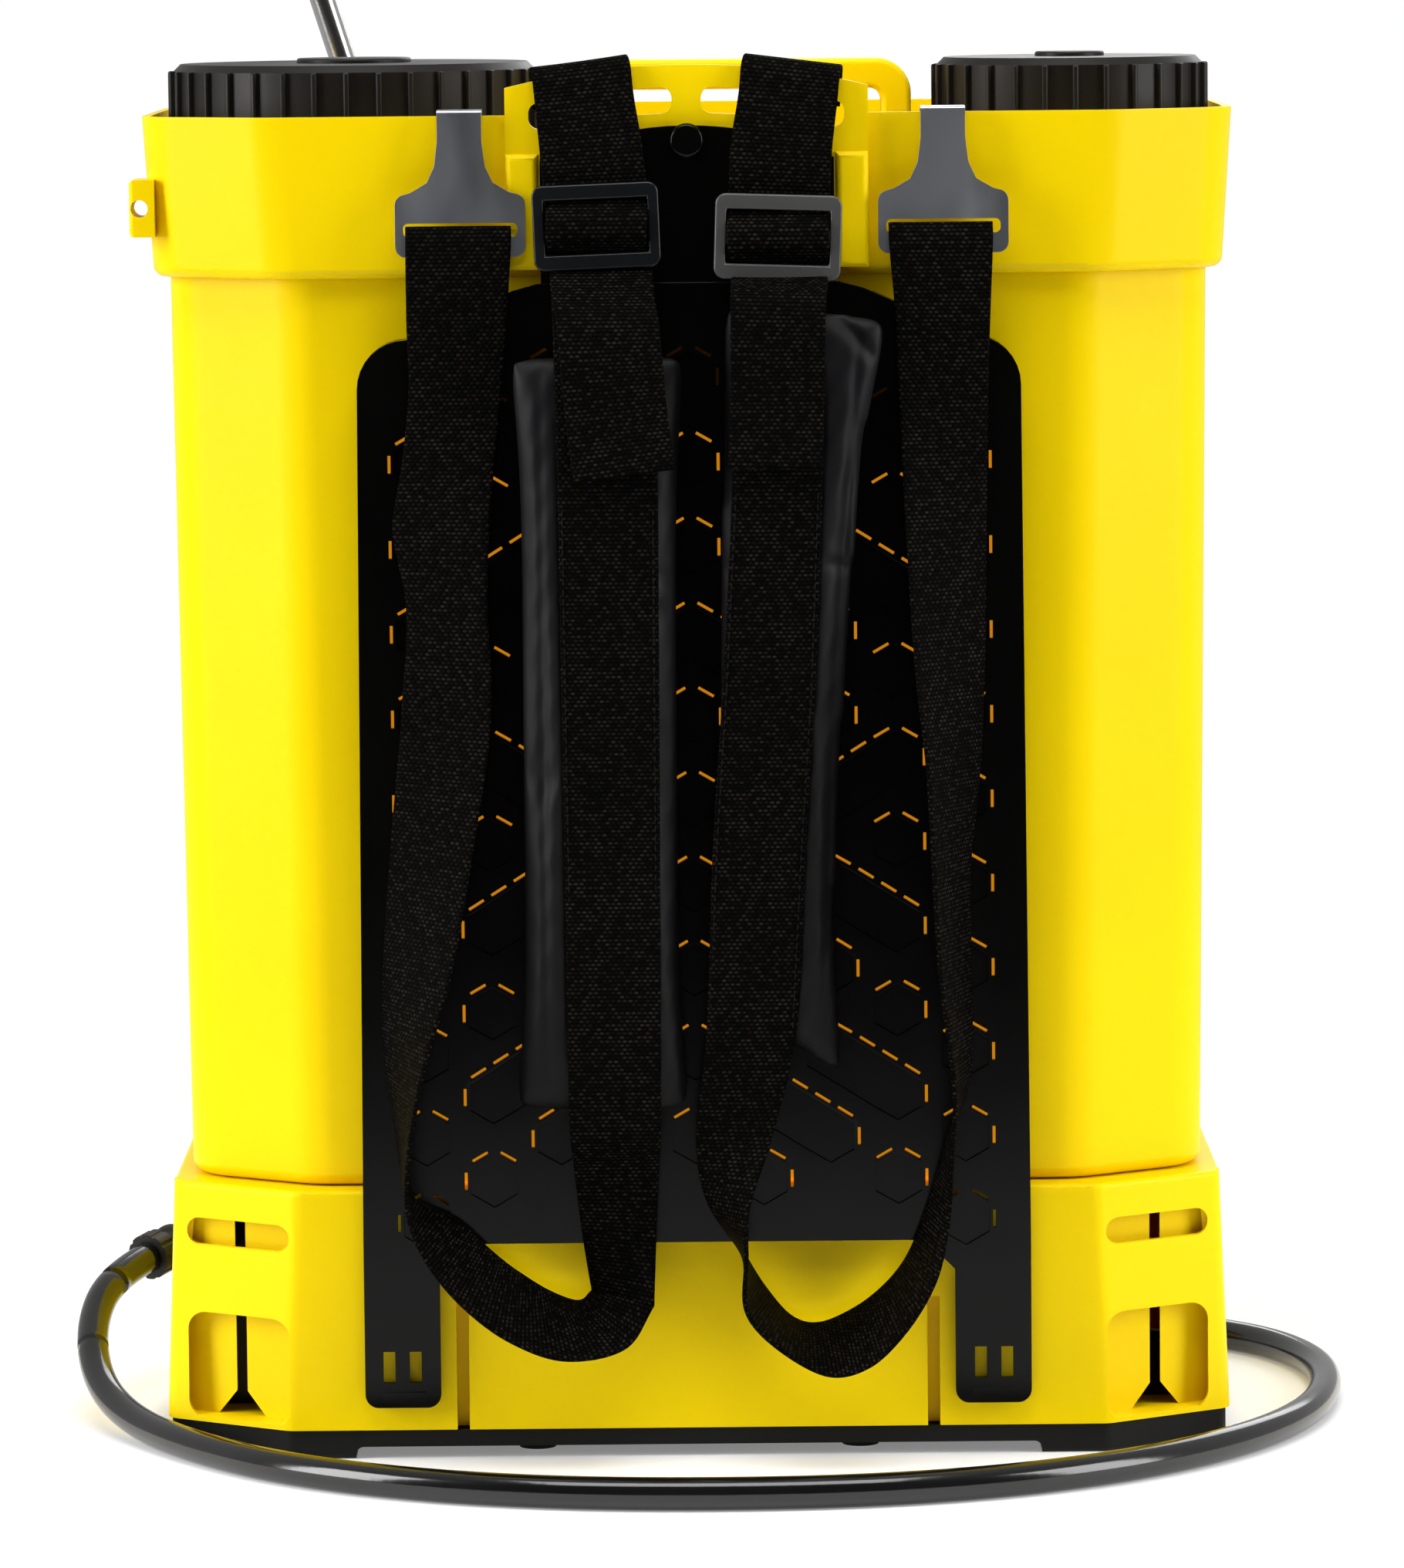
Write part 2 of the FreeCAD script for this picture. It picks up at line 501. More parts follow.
def top_collar():
    """Open tray round the filler necks, with the strap bracket, the hose lug and the lance clip."""
    low = plan(COLLAR_W_LOW, COLLAR_D_LOW, SOFT_CORNER_R)
    high = plan(COLLAR_W_TOP, COLLAR_D_TOP, SOFT_CORNER_R)
    outer = rounded_at_z(taper(low, high, COLLAR_BOTTOM, COLLAR_TOP), COLLAR_BOTTOM, 4.0)
    floor_top = TANK_TOP + COLLAR_FLOOR + GAP
    bowl = taper(inset(low, COLLAR_WALL), inset(high, COLLAR_WALL), COLLAR_BOTTOM, COLLAR_TOP)
    bowl = bowl.common(box(-300, 300, -200, 200, floor_top, COLLAR_TOP + 1))
    tank_top = plan(TANK_W_TOP, TANK_D_TOP, SOFT_CORNER_R)
    skirt = prism(inset(tank_top, -GAP), COLLAR_BOTTOM - 1, TANK_TOP + GAP)
    holes = [rod(neck_radius(r) + 1.5, (x, 0, COLLAR_BOTTOM), (x, 0, COLLAR_TOP))
             for x, r in ((LARGE_X, LARGE_R), (SMALL_X, SMALL_R))]
    collar = outer.cut([bowl, skirt] + holes)
    plate = arch_plate(BRACKET_HALF, COLLAR_BOTTOM + 6, BRACKET_SHOULDER_Z, BRACKET_CROWN_Z,
                       BRACKET_FRONT, BRACKET_BACK)
    flanges = []
    for side in (-1, 1):
        x0, x1 = sorted((side * BRACKET_HALF, side * (BRACKET_HALF - BRACKET_FLANGE)))
        flange = box(x0, x1, BRACKET_FLANGE_Y, BRACKET_BACK, COLLAR_BOTTOM + 3, TONGUE_Z + 2)
        front = edges_at(flange, lambda p: p.y < BRACKET_FLANGE_Y + 0.01)
        flanges.append(flange.makeFillet(2.6, front))
    lug_x = -(COLLAR_W_TOP / 2 - 2.2)
    lug = box(lug_x - LUG_OUT - 2.0, lug_x + 3.0, -76, -54, LUG_Z0, LUG_Z1)
    lug = lug.makeFillet(1.8, edges_at(lug, lambda p: p.x < lug_x))
    eye = rod(3.2, (lug_x - 2.6, -80, LUG_Z0 + 10.5), (lug_x - 2.6, -50, LUG_Z0 + 10.5))
    rivet_hole = rod(3.2, (0, -120, RIVET_Z), (0, -90, RIVET_Z))
    whole = fused([collar, plate] + flanges + [lug, lance_clip()])
    return whole.cut(strap_slots() + [rivet_hole, eye] + top_screw_holes())


def gun_line(distance, across=0.0, depth=0.0):
    """A point on the gun's own axes: along the lance, across it to the right, and to the rear."""
    lean = math.radians(LEAN)
    along = Vector(-math.sin(lean), 0, math.cos(lean))
    right = Vector(math.cos(lean), 0, math.sin(lean))
    return GUN_FOOT + along * distance + right * across + Vector(0, depth, 0)


def place_gun(shape):
    """Lean a shape that was built along +Z and set it on the gun's foot."""
    shape.rotate(Vector(0, 0, 0), Vector(0, 1, 0), -LEAN)
    shape.translate(GUN_FOOT)
    return shape


def lance_clip():
    """Open cradle at the rear of the collar that the lance lies in."""
    distance = (CLIP_Z - GUN_FOOT.z) / math.cos(math.radians(LEAN))
    back = COLLAR_D_TOP / 2 - 3.2 - GUN_FOOT.y
    cradle = box(-10.5, 10.5, back, 5.5, distance - 11, distance + 11)
    channel = box(-TUBE_R - GAP, TUBE_R + GAP, 0, 8, distance - 12, distance + 12)
    seat = rod(TUBE_R + GAP, (0, 0, distance - 12), (0, 0, distance + 12))
    return place_gun(cradle.cut([channel, seat]))


def top_screw_places():
    """Centres of the screws that hold the collar and the handle to the tank, and what they stand on."""
    floor_top = TANK_TOP + COLLAR_FLOOR + GAP
    collar = [(x, y, floor_top) for x in (-45.0, 172.0) for y in (-66.0, 66.0)]
    collar += [(-182.0, 66.0, floor_top)]
    foot = floor_top + HANDLE_LIP + GAP
    handle = [(x, y, foot) for x in (HANDLE_X0 + 18, HANDLE_X1 - 18) for y in (-9.0, 9.0)]
    return collar, handle


def top_screw_holes():
    """Clearance holes for those screws through the collar's floor."""
    collar, handle = top_screw_places()
    return [rod(SCREW_R + 0.3, (x, y, TANK_TOP - 1), (x, y, z + 1)) for x, y, z in collar + handle]


def top_screws():
    """The screws that hold the collar and the handle down."""
    collar, handle = top_screw_places()
    return Part.makeCompound([screw(x, y, z, 1, z - TANK_TOP - 0.4) for x, y, z in collar + handle])


def carry_handle():
    """Moulded channel-section arch between the two filler caps."""
    floor_top = TANK_TOP + COLLAR_FLOOR + 2 * GAP
    points = [(HANDLE_X0, floor_top), (HANDLE_X1, floor_top),
              (HANDLE_X1, HANDLE_TOP), (HANDLE_X0, HANDLE_TOP)]
    corners = [1.0, 1.0, HANDLE_CORNER_R, HANDLE_CORNER_R]
    arch = Part.Face(outline_wire((points, corners), 0.0))
    arch.rotate(Vector(0, 0, 0), Vector(1, 0, 0), 90)
    arch.translate(Vector(0, -HANDLE_HALF_Y, 0))
    arch = arch.extrude(Vector(0, 2 * HANDLE_HALF_Y, 0))
    bar = HANDLE_BAR
    opening = box(HANDLE_X0 + bar, HANDLE_X1 - bar, -40, 40, floor_top - 1, HANDLE_TOP - bar)
    opening = opening.makeFillet(5.0, [e for e in opening.Edges if e.BoundBox.YLength > 1
                                       and e.BoundBox.ZMin > HANDLE_TOP - bar - 0.01])
    arch = arch.cut(opening)
    arch = arch.makeFillet(2.2, [e for e in arch.Edges
                                 if abs(abs(e.BoundBox.YMin) - HANDLE_HALF_Y) < 0.01
                                 and e.BoundBox.YLength < 0.01
                                 and e.BoundBox.ZMin > floor_top + 0.5])
    channel = box(HANDLE_X0 + HANDLE_LIP, HANDLE_X1 - HANDLE_LIP, HANDLE_LIP, HANDLE_HALF_Y + 1,
                  floor_top + HANDLE_LIP, HANDLE_TOP - HANDLE_LIP)
    tongue = box(HANDLE_X0 + bar - HANDLE_LIP, HANDLE_X1 - bar + HANDLE_LIP, 0, HANDLE_HALF_Y + 2,
                 floor_top, HANDLE_TOP - bar + HANDLE_LIP)
    arch = arch.cut(channel.cut(tongue))
    feet = []
    for x0, x1 in ((HANDLE_X0 + bar - 1, HANDLE_X0 + 24), (HANDLE_X1 - 24, HANDLE_X1 - bar + 1)):
        foot = box(x0, x1, -HANDLE_HALF_Y, HANDLE_HALF_Y, floor_top, floor_top + HANDLE_LIP)
        feet.append(foot)
    holes = [rod(SCREW_R + 0.3, (x, y, TANK_TOP), (x, y, HANDLE_TOP - 20))
             for x, y, _ in top_screw_places()[1]]
    return fused([arch] + feet).cut(holes)


# ================================================================ caps and strainers
def cap(x, radius, ribs, boss_radius):
    """Screw cap: ribbed skirt, bevelled top plate and a low round boss in its middle."""
    bottom = CAP_TOP - CAP_HEIGHT
    skirt_radius = radius - CAP_RIB
    body = rod(skirt_radius, (x, 0, bottom), (x, 0, CAP_TOP))
    body = body.makeChamfer(CAP_BEVEL, [e for e in body.Edges if e.BoundBox.ZMin > CAP_TOP - 0.01])
    rib = box(skirt_radius - 1.0, radius, -CAP_RIB / 2, CAP_RIB / 2, bottom, CAP_TOP - CAP_BEVEL)
    rib = rib.makeFillet(0.9, [e for e in rib.Edges if e.BoundBox.XMin > radius - 0.01])
    all_ribs = []
    for i in range(ribs):
        one = rib.copy()
        one.rotate(Vector(0, 0, 0), Vector(0, 0, 1), 360.0 * i / ribs)
        one.translate(Vector(x, 0, 0))
        all_ribs.append(one)
    boss = rod(boss_radius, (x, 0, CAP_TOP - 1), (x, 0, CAP_TOP + BOSS_T))
    boss = boss.makeFillet(1.0, [e for e in boss.Edges if e.BoundBox.ZMin > CAP_TOP + BOSS_T - 0.01])
    hollow = rod(skirt_radius - CAP_WALL, (x, 0, bottom - 1), (x, 0, CAP_TOP - CAP_PLATE))
    return fused([body, boss] + all_ribs).cut(hollow)


def strainer(x, cap_radius):
    """Filler strainer: flange on the neck's rim, and a basket with windows and a closed floor."""
    flange = neck_radius(cap_radius)
    radius = flange - NECK_WALL - 1.2
    bottom = NECK_TOP - STRAINER_DEPTH
    flange_top = NECK_TOP + STRAINER_T
    shell = rod(radius, (x, 0, bottom), (x, 0, flange_top))
    rim = rod(flange, (x, 0, NECK_TOP), (x, 0, flange_top))
    inside = rod(radius - STRAINER_T, (x, 0, bottom + STRAINER_T), (x, 0, flange_top + 1))
    cuts = []
    for level in (bottom + 6.0, bottom + 42.0):
        for i in range(STRAINER_WINDOWS // 2):
            window = box(-radius - 5, radius + 5, -radius * 0.17, radius * 0.17, level, level + 28.0)
            window.rotate(Vector(0, 0, 0), Vector(0, 0, 1), 180.0 * i / (STRAINER_WINDOWS // 2))
            window.translate(Vector(x, 0, 0))
            cuts.append(window)
    return fused([shell, rim]).cut([inside] + cuts)


def gasket(x, cap_radius):
    """Flat sealing ring between the strainer's flange and the cap."""
    outer = neck_radius(cap_radius)
    start = NECK_TOP + STRAINER_T
    return ring(outer, outer - 6.0, (x, 0, start), (x, 0, start + GASKET_T))


# ================================================================ base
def base_outer(clearance=0.0):
    """The base's outside shape, moved inwards by a clearance."""
    return taper(inset(plan(BASE_W_LOW, BASE_D_LOW), clearance),
                 inset(plan(BASE_W_TOP, BASE_D_TOP), clearance), TRAY_TOP, BASE_TOP)


def base_housing():
    """Skirt under the tank: deck, walls, strap-hook slots with their pockets, grooves and cut-outs."""
    outer = rounded_at_z(base_outer(), BASE_TOP, 2.0)
    inner = base_outer(BASE_WALL).common(box(-300, 300, -200, 200, TRAY_TOP, BASE_TOP - BASE_WALL))
    shell = outer.cut([inner] + anchor_cuts(-1) + anchor_cuts(1))
    extras, cuts = [], []
    for side in (-1, 1):
        extras.append(anchor_pocket(side).common(base_outer()))
        groove_x = side * GROOVE_X
        face = -BASE_D_LOW / 2
        extras.append(box(groove_x - 6, groove_x + 6, face + 4.5, face + 11, TRAY_TOP, GROOVE_TOP + 6))
        cuts.append(box(groove_x - GROOVE_W / 2, groove_x + GROOVE_W / 2, face - 1, face + 8,
                        TRAY_TOP - 1, GROOVE_TOP))
    for x, y in spigot_places():
        cuts.append(rod(SPIGOT_R + 1.0, (x, y, BASE_TOP - 10), (x, y, BASE_TOP + 1)))
    window = box(PANEL_X0 + 5, PANEL_X1 - 5, 90, 120, PANEL_Z0 + 5, PANEL_Z1 - 5)
    corner = outlet_axis()[0]
    outlet = rod(8.3, (OUTLET_INNER_X, corner.y, corner.z), (-215, corner.y, corner.z))
    lever_hole = rod(5.3, (VALVE_X, 85, VALVE_Z), (VALVE_X, 120, VALVE_Z))
    extras.append(gun_cradle())
    bosses = [rod(5.0, (x, y, TRAY_TOP + 6), (x, y, BASE_TOP - 1)) for x, y in tray_screw_places()]
    pilots = [rod(SCREW_R + 0.1, (x, y, TRAY_TOP), (x, y, TRAY_TOP + 20))
              for x, y in tray_screw_places()]
    return fused([shell] + extras + bosses).cut(cuts + [window, outlet, lever_hole] + pilots)


def gun_cradle():
    """Open cradle at the rear of the base that the gun's hose nut rests in."""
    back = BASE_D_TOP / 2 - 2.5 - GUN_FOOT.y
    low, high = -NUT_LENGTH + 2.0, -7.0
    reach = NUT_R + 1.0 + GAP
    cradle = box(-reach - 3.0, reach + 3.0, back, 7.0, low, high)
    channel = box(-reach, reach, 0, 9, low - 1, high + 1)
    seat = rod(reach, (0, 0, low - 1), (0, 0, high + 1))
    return place_gun(cradle.cut([channel, seat]))


def anchor_pocket(side):
    """Inner wall behind a strap-hook slot, parallel to the corner's slanted face."""
    x, y = BASE_W_LOW / 2, BASE_D_LOW / 2
    start = Vector(side * (x - CHAMFER_X - 4.0), -y, 0)
    end = Vector(side * x, CHAMFER_Y - y, 0)
    along = (end - start).normalize()
    inward = Vector(-side * abs(along.y), abs(along.x), 0)
    corners = [start + inward * POCKET_DEPTH - along * 3, end + inward * POCKET_DEPTH + along * 6,
               end + inward * (POCKET_DEPTH + 2.5) + along * 6,
               start + inward * (POCKET_DEPTH + 2.5) - along * 3]
    wall = Part.Face(Part.makePolygon(corners + corners[:1])).extrude(Vector(0, 0, BASE_TOP - TRAY_TOP))
    wall.translate(Vector(0, 0, TRAY_TOP))
    end_wall = box(*sorted((side * (ANCHOR_X0 - 6.5), side * (ANCHOR_X0 - 4.0))), -y + 1.5, -y + 16,
                   TRAY_TOP, BASE_TOP - 1)
    floor = box(*sorted((side * (ANCHOR_X0 - 6), side * (x - 2))), -y + 2, -y + 46, TRAY_TOP, TRAY_TOP + 2)
    slit_x = side * POCKET_SLIT_X
    slit = box(slit_x - POCKET_SLIT_W / 2, slit_x + POCKET_SLIT_W / 2, -y, -y + 70, TRAY_TOP + 3,
               BASE_TOP - 6)
    foot = TRAY_TOP + 2
    flare = upright_plate([(slit_x - 2, foot + POCKET_FLARE), (slit_x - POCKET_FLARE, foot),
                           (slit_x + POCKET_FLARE, foot), (slit_x + 2, foot + POCKET_FLARE)],
                          -y, -y + 70)
    return fused([wall.cut([slit, flare]), end_wall, floor])


def anchor_cuts(side):
    """The slot and the open recess in a slanted corner face, for a strap hook."""
    x0, x1 = sorted((side * ANCHOR_X0, side * ANCHOR_X1))
    depth = (-BASE_D_LOW / 2 - 5, -BASE_D_LOW / 2 + 31)
    radius = ANCHOR_SLOT_H / 2
    slot = box(x0, x1, *depth, ANCHOR_SLOT_Z - radius, ANCHOR_SLOT_Z + radius)
    slot = slot.makeFillet(radius * 0.95, [e for e in slot.Edges if e.BoundBox.YLength > 1])
    recess = box(x0, x1, *depth, RECESS_Z0 + 2, RECESS_Z1)
    recess = recess.makeFillet(7.0, [e for e in recess.Edges if e.BoundBox.YLength > 1])
    return [slot, recess]


def tray_screw_places():
    """Centres of the screws that hold the tray up to the base."""
    return [(-160.0, 82.0), (160.0, 82.0), (-60.0, -86.0), (60.0, -86.0), (0.0, 88.0)]


def base_tray():
    """Black bottom tray with feet, a middle pad, and a shallow floor under the battery and pump."""
    outline = inset(plan(BASE_W_LOW, BASE_D_LOW), 1.5)
    outer = rounded_at_z(prism(outline, FLOOR_Z, TRAY_TOP - GAP), FLOOR_Z, 2.0)
    top_pocket = prism(inset(outline, 4.0), TRAY_TOP - 3.0, TRAY_TOP + 1)
    under = prism(inset(outline, 16.0), FLOOR_Z - 1, TRAY_TOP - 3.0 - TRAY_FLOOR)
    pad = box(-TRAY_PAD, TRAY_PAD, -TRAY_PAD / 1.5, TRAY_PAD / 1.5, -1, TRAY_TOP)
    arches = [box(-TRAY_ARCH_HALF, TRAY_ARCH_HALF, y0, y1, FLOOR_Z - 1, TRAY_ARCH)
              for y0, y1 in ((-120, -70), (70, 120))]
    arches = [a.makeFillet(3.0, [e for e in a.Edges if e.BoundBox.YLength > 1 and e.BoundBox.ZMin > 1])
              for a in arches]
    holes = [rod(SCREW_R + 0.3, (x, y, 0), (x, y, TRAY_TOP + 8)) for x, y in tray_screw_places()]
    wells = [rod(SCREW_HEAD_R + 0.6, (x, y, -1), (x, y, 4.0)) for x, y in tray_screw_places()]
    posts = [rod(SCREW_HEAD_R + 3.0, (x, y, 1.2), (x, y, TRAY_TOP + 5.6))
             for x, y in tray_screw_places()]
    tray = outer.cut([top_pocket, under.cut(pad)] + arches)
    return fused([tray] + posts).cut(holes + wells)


def tray_screws():
    """The screws that hold the tray to the base."""
    return Part.makeCompound([screw(x, y, 4.0, -1, 24.0) for x, y in tray_screw_places()])


# ================================================================ back plate
def hull(points):
    """Corners of the convex outline round some points, anticlockwise."""
    def half(ordered):
        chain = []
        for p in ordered:
            while len(chain) > 1 and cross(chain[-2], chain[-1], p) <= 1e-9:
                chain.pop()
            chain.append(p)
        return chain[:-1]
    ordered = sorted(points)
    return half(ordered) + half(ordered[::-1])


def cross(a, b, c):
    """Twice the signed area of a triangle."""
    return (b[0] - a[0]) * (c[1] - a[1]) - (b[1] - a[1]) * (c[0] - a[0])


def cell_centre(column, half_row, side):
    """Centre of a honeycomb cell."""
    return side * column * HEX_COLUMN, HEX_ORIGIN_Z + half_row * HEX_HALF_ROW


def cell_points(cells, side):
    """Corner points of one or more hexagons that stand on a corner."""
    radius = HEX_FLATS / math.sqrt(3)
    points = []
    for column, half_row in cells:
        x, z = cell_centre(column, half_row, side)
        points += [(round(x + radius * math.cos(math.radians(30 + 60 * i)), 4),
                    round(z + radius * math.sin(math.radians(30 + 60 * i)), 4)) for i in range(6)]
    return points


def plate_top(x):
    """Height of the back plate's upper edge at a distance from its middle."""
    return PLATE_EDGE_Z - max(abs(x) - 55.0, 0.0) * 0.41


def honeycomb_cells():
    """Single and paired cells of the pattern, each with the side of the plate that it is on."""
    paired = {cell for pair in PAIRED_CELLS for cell in pair}
    cells = []
    for side in (-1, 1):
        cells += [(pair, side) for pair in PAIRED_CELLS]
        for column in range(5):
            for half_row in range(-4, 19):
                x, z = cell_centre(column, half_row, side)
                lowest = PLATE_PANEL_Z + (13.0 if column < 4 else 3.0)
                if (column + half_row) % 2 or (column, half_row) in paired or (column == 0 and side < 0):
                    continue
                if lowest + 4.0 < z and z < plate_top(x) - 22.0 - (16.0 if column == 4 else 0.0):
                    cells.append((((column, half_row),), side))
    return cells


def honeycomb_cuts():
    """Shallow pockets, and the short through slits beside their upper and outer edges."""
    pockets, slits = [], []
    for cells, side in honeycomb_cells():
        corners = hull(cell_points(cells, side))
        pockets.append(upright_plate(corners, PLATE_FRONT - 1, PLATE_FRONT + HEX_DEPTH))
        for (x0, z0), (x1, z1) in zip(corners, corners[1:] + corners[:1]):
            length = math.hypot(x1 - x0, z1 - z0)
            nx, nz = (z1 - z0) / length, (x0 - x1) / length
            if nz < 0.3 and nx * side < 0.95:
                continue
            count = max(1, round(length / SLIT_PITCH))
            for i in range(count):
                share = (i + 0.5) / count
                x = x0 + (x1 - x0) * share + nx * SLIT_OFFSET
                z = z0 + (z1 - z0) * share + nz * SLIT_OFFSET
                slit = box(-SLIT_LENGTH / 2, SLIT_LENGTH / 2, PLATE_FRONT - 1,
                           PLATE_FRONT + PLATE_SKIN + 1, -SLIT_WIDTH / 2, SLIT_WIDTH / 2)
                slit.rotate(Vector(0, 0, 0), Vector(0, 1, 0), -math.degrees(math.atan2(z1 - z0, x1 - x0)))
                slit.translate(Vector(x, 0, z))
                slits.append(slit)
    return pockets + slits


def plate_outline():
    """The back plate's outline: panel, slanted shoulders, tongue cut off, and two legs."""
    turns = [math.radians(90.0 * i / 8) for i in range(9)]
    corner = [(PLATE_HALF_TOP - PLATE_CORNER_R * (1 - math.sin(a)),
               PLATE_CORNER_Z + PLATE_CORNER_R * math.cos(a)) for a in turns]
    right = [(55, PLATE_EDGE_Z), (64, PLATE_EDGE_Z - 2.5)] + corner
    right += [(PLATE_HALF_LOW, PLATE_PANEL_Z), (PLATE_HALF_LOW, PLATE_LEG_Z),
             (PLATE_LEG_IN, PLATE_LEG_Z), (PLATE_LEG_IN, PLATE_PANEL_Z - 11),
             (PLATE_LEG_IN - 11, PLATE_PANEL_Z)]
    return right + [(-x, z) for x, z in right[::-1]]


def back_plate():
    """Black backrest plate: honeycomb skin, standing rim, stepped tongue and two clip legs."""
    skin = upright_plate(plate_outline()[::-1], PLATE_FRONT, PLATE_FRONT + PLATE_SKIN)
    leg_corners = [e for e in skin.Edges if e.BoundBox.YLength > 1 and e.BoundBox.ZMax < PLATE_LEG_Z + 1]
    skin = skin.makeFillet(5.0, leg_corners)
    panel = [(x, z) for x, z in plate_outline() if z > PLATE_PANEL_Z + 40]
    low = BASE_TOP + 3.0
    half = PLATE_HALF_LOW - 0.4
    right = [(x, z) for x, z in panel if x > 0] + [(half, low)]
    inside = [(x - (PLATE_RIM_T if x > 60 else 0.0), z - PLATE_RIM_T) for x, z in right[:-1]]
    inside += [(half - PLATE_RIM_T, low - 1)]
    back = (PLATE_FRONT + PLATE_SKIN - 0.2, PLATE_RIM_Y)
    rim_outer = upright_plate((right + [(-x, z) for x, z in right[::-1]])[::-1], *back)
    rim_inner = upright_plate((inside + [(-x, z) for x, z in inside[::-1]])[::-1],
                              back[0] - 0.2, back[1] + 1)
    rim = rim_outer.cut(rim_inner)
    notch = box(-TONGUE_HALF - 14, TONGUE_HALF + 14, PLATE_FRONT + PLATE_SKIN, PLATE_RIM_Y + 1,
                PLATE_EDGE_Z - 14, PLATE_EDGE_Z + 6)
    tongue = arch_plate(TONGUE_HALF, PLATE_EDGE_Z - 2, TONGUE_Z, TONGUE_CROWN_Z, PLATE_FRONT + 0.7,
                        BRACKET_FRONT - GAP)
    step = box(-TONGUE_HALF, TONGUE_HALF, PLATE_FRONT + 0.2, PLATE_FRONT + PLATE_SKIN,
               PLATE_EDGE_Z - 4, PLATE_EDGE_Z)
    windows = []
    for side in (-1, 1):
        for x in (104.3, 114.0):
            windows.append(box(side * x - 2.2, side * x + 2.2, PLATE_FRONT - 1, -100, 29.5, 41))
    tabs = [box(*sorted((side * 101.0, side * 116.5)), PLATE_FRONT - 1.4, PLATE_FRONT + 1, 22.0, 26.0)
            for side in (-1, 1)]
    rivet_hole = rod(3.2, (0, -120, RIVET_Z), (0, -100, RIVET_Z))
    return fused([skin.cut(honeycomb_cuts()), rim.cut(notch), tongue, step] + tabs).cut(
        windows + [rivet_hole])


def plate_rivet():
    """Push rivet that holds the plate's tongue to the bracket."""
    front = PLATE_FRONT + 0.7
    head = rod(RIVET_R, (0, front, RIVET_Z), (0, front - 2.6, RIVET_Z))
    head = head.makeFillet(1.6, [e for e in head.Edges if e.BoundBox.YMax < front - 2.5])
    shank = rod(3.0, (0, front, RIVET_Z), (0, BRACKET_BACK + 1.6, RIVET_Z))
    return fused([head, shank])


# ================================================================ harness
def pad(outline):
    """Padded shoulder strap as a plain rounded block."""
    block = upright_plate([(x, raised(z)) for x, z in outline], PAD_FRONT, PAD_BACK)
    return block.makeFillet(PAD_ROUND, [e for e in block.Edges if e.BoundBox.YLength < 0.01
                                  and e.BoundBox.YMin < PAD_FRONT + 0.01])


def strap_hook(x):
    """Sheet-metal hook plate: slotted body, tapered shoulders, and a neck bent over the rim."""
    right = [(23.7, 444), (23.7, 466), (18.0, 467.5), (12.0, 471), (9.2, 477), (8.1, 486),
             (8.1, HOOK_TOP)]
    outline = right + [(-a, z) for a, z in right[::-1]]
    body = upright_plate(outline[::-1], HOOK_FRONT, HOOK_FRONT + HOOK_T)
    body = body.makeFillet(4.0, [e for e in body.Edges
                                 if e.BoundBox.YLength > 1 and e.BoundBox.ZMax < 466.5])
    slot = box(-20.8, 20.8, HOOK_FRONT - 1, HOOK_FRONT + 3, 451.3, 456.4)
    slot = slot.makeFillet(2.0, [e for e in slot.Edges if e.BoundBox.YLength > 1])
    inside = -COLLAR_D_TOP / 2 + COLLAR_WALL + 1.6
    top = box(-8.1, 8.1, HOOK_FRONT, inside + HOOK_T, HOOK_TOP - HOOK_T, HOOK_TOP)
    leg = box(-8.1, 8.1, inside, inside + HOOK_T, 477, HOOK_TOP)
    hook = fused([body.cut(slot), top, leg])
    crest = [e for e in hook.Edges if e.BoundBox.ZMin > HOOK_TOP - 0.01 and e.BoundBox.XLength > 10]
    hook = hook.makeFillet(1.2, crest)
    hook.translate(Vector(x, 0, HARNESS_RISE))
    return hook


def buckle(place):
    """Ladder buckle: a rounded frame with a middle bar that sits a little behind its face."""
    x, z, lean = place
    half_x, half_z = BUCKLE_W / 2, BUCKLE_H / 2
    corners = [(-half_x, -half_z), (half_x, -half_z), (half_x, half_z), (-half_x, half_z)]
    frame = upright_plate(corners, BUCKLE_FRONT, BUCKLE_FRONT + BUCKLE_T, 4.0)
    window = box(-half_x + BUCKLE_BAR_X, half_x - BUCKLE_BAR_X, BUCKLE_FRONT - 1, BUCKLE_FRONT + 4,
                 -half_z + BUCKLE_BAR_Z, half_z - BUCKLE_BAR_Z)
    bar = box(-half_x + 2, half_x - 2, BUCKLE_FRONT + 0.8, BUCKLE_FRONT + BUCKLE_T,
              -BUCKLE_MIDDLE / 2, BUCKLE_MIDDLE / 2)
    piece = fused([frame.cut(window), bar])
    piece.rotate(Vector(0, 0, 0), Vector(0, 1, 0), -lean)
    piece.translate(Vector(x, 0, raised(z)))
    return piece


# ================================================================ pump, battery and hoses inside
def battery():
    """Sealed battery block with two terminals."""
    x0, x1, y0, y1, z0, z1 = BATTERY
    block = box(x0, x1, y0, y1, z0, z1)
    block = block.makeFillet(2.0, [e for e in block.Edges if e.BoundBox.ZLength > 10])
    terminals = [box(x1 - 14, x1 - 8, y, y + 6, z1 - 1, z1 + 4) for y in (y0 + 12, y1 - 18)]
    return fused([block] + terminals)


